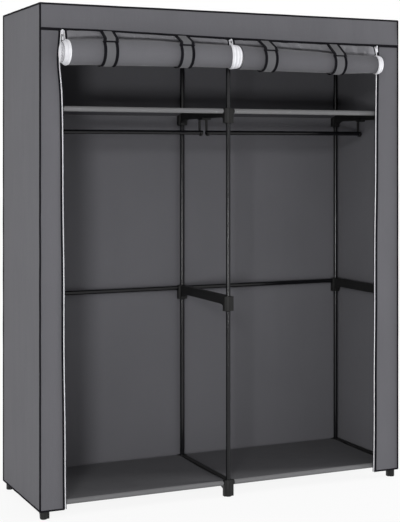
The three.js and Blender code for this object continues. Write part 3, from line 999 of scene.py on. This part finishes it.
def hanging_path(start, centre, radius, end_angle, steps, way):
    """Y and Z from a seam straight to the roll, then round it; steps are those of line and arc."""
    on_line, on_arc = steps
    touch = touch_angle(start, centre, radius, way)
    touch_point = centre + radius * Vector((math.cos(touch), math.sin(touch)))
    points = [start.lerp(touch_point, step / on_line) for step in range(on_line)]
    for step in range(on_arc + 1):
        angle = mixed(touch, end_angle, step / on_arc)
        points.append(centre + radius * Vector((math.cos(angle), math.sin(angle))))
    return points


def path_length(path):
    return sum((Vector(b) - Vector(a)).length for a, b in zip(path, path[1:]))


def crinkle(x, z):
    slanted_x = x * broad_crinkles[0] + z * broad_crinkle_slant
    broad = noise.noise(Vector((slanted_x, z * broad_crinkles[1], broad_crinkle_seed)))
    fine = noise.noise(Vector((x * fine_crinkles[0], z * fine_crinkles[1], fine_crinkle_seed)))
    return broad + fine_crinkle_share * fine


def door_sheet(side, roll):
    """The sheet, the lines of the zips along its two edges, and its length down the middle."""
    low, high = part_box(f"door_sheet_{side}")
    rows = line_steps + arc_steps

    def place(across, up):
        x = mixed(low.x, high.x, across)
        radius = roll_radius(roll, x) + sheet_gap + cloth_thickness / 2
        centre = roll_centre(roll, x)
        seam = Vector((front_y + cloth_thickness / 2, header_edge(x)[1]))
        path = hanging_path(seam, centre, radius, sheet_end_angle, (line_steps, arc_steps), behind_roll)
        step = round((1 - up) * rows)
        y, z = path[step]
        tuck_z = centre.y + radius + sight_slope * (y - centre.x)
        rise = clamped((seam.y - z) / puff_rise)
        tuck = clamped((z - tuck_z) / puff_tuck)
        from_tape = min(across, 1 - across) * (high.x - low.x) / tape_hold
        free = math.sin(math.pi / 2 * rise) * math.sin(math.pi / 2 * tuck) * min(from_tape, 1)
        bow = sheet_bow * math.sin(math.pi * min(step / line_steps, 1))
        return Vector((x, y - bow - free * (puff + puff_crinkle * crinkle(x, z)), z))

    def on_tape(across, up):
        return min(across, 1 - across) * (high.x - low.x) < door_tape_width

    mesh = thickened(sheet_mesh(place, columns=150, rows=rows, material_at=on_tape), loose_cloth_thickness)
    heights = [1 - step / rows for step in range(line_steps)]
    out = Vector((0, -door_chain_out, 0))
    chains = [[place(across, up) + out for up in heights] for across in (0, 1)]
    length = path_length([place(0.5, step / rows) for step in range(rows + 1)])
    return mesh, chains, length


for side, roll in rolls.items():
    mesh, chains, length = door_sheet(side, roll)
    sheet = made_piece(f"door_cloth_{side}", mesh, [painted_light_loose_cloth, black_tape], None)
    low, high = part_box(f"door_sheet_{side}")
    lowest_edge = min(header_edge(low.x)[1], header_edge(high.x)[1])
    door_zip = piped(f"door_zip_{side}", chains, door_chain_radius, zip_white, None)
    for piece in (sheet, door_zip):
        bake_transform(piece)
    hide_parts(f"door_sheet_{side}")

# Straps
# Two long straps a door are sewn into the header seam behind it, pass under the roll and up its
# front, and a short tab comes over the top to meet each. All have black tape bound over their edges.
strap_width = 0.050
strap_thickness = 0.0016
strap_columns = 16
strap_steps = (12, 44)
strap_end_angle = math.radians(-232)
strap_sewn_below_seam = 0.0011
tab_steps = (8, 16)
tab_end_angle = math.radians(141)
tab_end_binding = 0.0095
tab_end_overhang = 0.003
tab_bend = 0.008
binding_width = 0.0092
strap_cord_radius = 0.0013
tab_cord_radius = 0.0018
strap_bond = 0.0006
strap_gap = 0.0005
strap_cloth = cloth_material("strap_cloth", (0.104, 0.104, 0.111), crease=0.2)
# The straps were sewn on a little to the right of where they wrap each roll
strap_lean = 0.024
strap_shifts = {1: -0.009, 2: -0.003, 3: 0.0, 4: 0.001}
strap_numbers = {"left": (1, 2), "right": (3, 4)}


def strap_band(path, centre_at, end_binding=0.0):
    """A strap along a path of Y and Z, its middle at centre_at(point of the path)."""
    last = len(path) - 1
    length = path_length(path)
    limit = 0.5 - binding_width / strap_width

    def place(across, up):
        step = round(up * last)
        return Vector((centre_at(path[step]) + (across - 0.5) * strap_width, *path[step]))

    def bound(across, up):
        return abs(across - 0.5) > limit or (1 - up) * length < end_binding

    mesh = sheet_mesh(place, columns=strap_columns, rows=last, material_at=bound)
    return thickened(mesh, strap_thickness)


def bound_edges(path, centre_at):
    """The folded edge of the tape along both sides of a strap."""
    return [
        [Vector((centre_at(point) + sign * strap_width / 2, *point)) for point in path]
        for sign in (-1, 1)
    ]


def strap_radius(roll, x):
    widest = max(roll_radius(roll, x - strap_width / 2), roll_radius(roll, x + strap_width / 2))
    return widest + strap_gap + cloth_thickness - strap_bond + strap_thickness / 2


def strap_and_tab(side, roll, order, number):
    """A long strap and the tab that meets it, with their bound edges."""
    body = f"strap_tab_{number}"
    hinge = joints[f"{body}_lift"]["pos_m"]
    centre = roll_centre(roll, hinge[0])
    radius = strap_radius(roll, hinge[0])
    seam_y = front_y + cloth_thickness - strap_bond + strap_thickness / 2
    seam = Vector((seam_y, seam_z - strap_sewn_below_seam))
    path = hanging_path(seam, centre, radius, strap_end_angle, strap_steps, behind_roll)
    tab_radius = radius + strap_thickness + strap_gap
    edge_z = header_edge(hinge[0])[1]
    tab_seam = Vector((hinge[1], edge_z))
    tab_path = hanging_path(tab_seam, centre, tab_radius, tab_end_angle, tab_steps, over_roll)
    wrap_x = hinge[0] + strap_shifts[number]
    tab_end_z = tab_path[-1][1]

    def strap_centre(point):
        """Above the roll's front the strap leans to where it is sewn on."""
        return wrap_x + strap_lean * max(0.0, (point[1] - tab_end_z) / (seam_z - tab_end_z))

    name = f"long_strap_{side}_{order}"
    cloths = [strap_cloth, black_tape]
    strap = made_piece(name, strap_band(path, strap_centre), cloths)
    path_length(path)
    cords = bound_edges(path, strap_centre)
    edges = piped(f"{name}_edges", cords, strap_cord_radius, black_tape)
    for piece in (strap, edges):
        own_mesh(piece)

    tab_mesh = strap_band(tab_path, strap_centre, tab_end_binding)
    tab = made_piece(f"tab_{number}", tab_mesh, cloths, None)
    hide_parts(body)
    tab_flat = (strap_width, path_length(tab_path))
    reach = strap_width / 2 + tab_end_overhang
    tip = [Vector((wrap_x + sign * reach, *tab_path[-1])) for sign in (-1, 1)]
    tab_cords = bound_edges(tab_path, strap_centre) + [tip]
    tab_edges = piped(f"tab_{number}_edges", tab_cords, tab_cord_radius, black_tape, None)
    bend_start, bend_end = ((*hinge[:2], edge_z - drop) for drop in (0.0, tab_bend))
    for piece in (tab, tab_edges):
        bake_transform(piece)
        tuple(bend_start)
        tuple(bend_end)


for side, roll in rolls.items():
    for order, number in enumerate(strap_numbers[side], start=1):
        strap_and_tab(side, roll, order, number)

# Zip sliders and pulls
# Three small white sliders are parked at the tops of the zips, close under the header's piping, each
# with a flat pull that hangs through its arch. All are cast, with rounded edges.
slider_round = 0.0005
# Their widths at the foot and at the top, as shares of the plain box
slider_widths = {"left": (1.0, 0.6), "centre": (1.4, 1.0), "right": (1.4, 1.0)}
for place_name, (foot_share, top_share) in slider_widths.items():
    for part in ("slider", "pull"):
        node = f"zip_{part}_{place_name}"
        mesh = rounded_copy(node, slider_round)
        low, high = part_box(node)
        middle_x = (low.x + high.x) / 2
        room = min(header_edge(middle_x)[1] - low.z, high.z - low.z)
        for point in mesh.verts:
            height_share = (point.co.z - low.z) / (high.z - low.z)
            width_share = mixed(foot_share, top_share, height_share)
            point.co.x = middle_x + (point.co.x - middle_x) * width_share
            if part == "slider":
                point.co.z = low.z + room * height_share
        piece = made_piece(f"{part}_{place_name}", mesh, zip_white, body_of_node(node))
        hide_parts(node)

# Floor, backdrop and light
# A white floor runs out into an even pale surround, and both look white only where they are seen. Two
# lamps stand to the left of the front, one high and one low, and a dim one lights each side of the cover.
floor_reach = 30
floor_white = (0.8, 0.8, 0.8, 1)
floor_whiteness = 0.9
surround_white = (1, 1, 1, 1)
lamp_target = Vector((0, 0, 0.85))


def seen_directly(shader):
    """1 for a ray from the camera, or by way of metal or glass, and 0 for one that lights the object."""
    kinds = ("Is Camera Ray", "Is Glossy Ray", "Is Transmission Ray")
    straight, by_metal, by_glass = (shader.node("ShaderNodeLightPath", {}, {}, kind) for kind in kinds)
    return straight.maths("MAXIMUM", by_metal).maths("MAXIMUM", by_glass)


def shown_over(shader, bright, share, output):
    """Mixes a brighter shader over the first one by a share, and plugs the two into the output."""
    first = Value(shader, shader.surface.outputs[0])
    both = shader.node("ShaderNodeMixShader", {}, {0: share, 1: first, 2: bright})
    shader.plug(shader.nodes[output].inputs["Surface"], both)


def stage_floor():
    mesh = bmesh.new()
    bmesh.ops.create_grid(mesh, x_segments=1, y_segments=1, size=floor_reach)
    data = bpy.data.meshes.new("floor")
    mesh.to_mesh(data)
    mesh.free()
    floor = bpy.data.objects.new("floor", data)
    bpy.context.scene.collection.objects.link(floor)
    shader = Shader(bpy.data.materials.new("white_floor"))
    glow = shader.node("ShaderNodeEmission", {}, {"Strength": 1.0})
    shown_over(shader, glow, seen_directly(shader) * floor_whiteness, "Material Output")
    floor.data.materials.append(shader.finish(Base_Color=floor_white, Roughness=0.9))
    floor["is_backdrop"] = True


def white_surround(strength):
    shader = Shader(bpy.data.worlds.new("surround"), "Background")
    bright = shader.node("ShaderNodeBackground", {}, {"Color": surround_white})
    shown_over(shader, bright, seen_directly(shader), "World Output")
    bpy.context.scene.world = shader.finish(Color=surround_white, Strength=strength)


def lamp(name, azimuth, distance, height, size, brightness, shines=True):
    """A square lamp; brightness is what it adds to white cloth that faces it at the wardrobe."""
    light = bpy.data.lights.new(name, "AREA")
    light.shape = "SQUARE"
    light.size = size
    light.energy = brightness * math.pi**2 * distance**2
    stand = bpy.data.objects.new(name, light)
    angle = math.radians(azimuth)
    stand.location = (distance * math.sin(angle), -distance * math.cos(angle), height)
    aim = lamp_target - stand.location
    stand.rotation_euler = aim.to_track_quat("-Z", "Y").to_euler()
    stand.visible_glossy = shines
    bpy.context.scene.collection.objects.link(stand)


stage_floor()
white_surround(strength=0.635)
lamp("high_key", azimuth=-32, distance=12.0, height=4.08, size=1.7, brightness=0.20)
lamp("low_key", azimuth=-32, distance=7.0, height=0.25, size=1.0, brightness=0.38)
lamp("left_fill", azimuth=-84, distance=7.0, height=1.4, size=2.0, brightness=0.13, shines=False)
lamp("right_fill", azimuth=80, distance=7.0, height=1.4, size=2.0, brightness=1.2, shines=False)
bpy.context.scene.view_settings.view_transform = "Standard"

low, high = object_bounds()
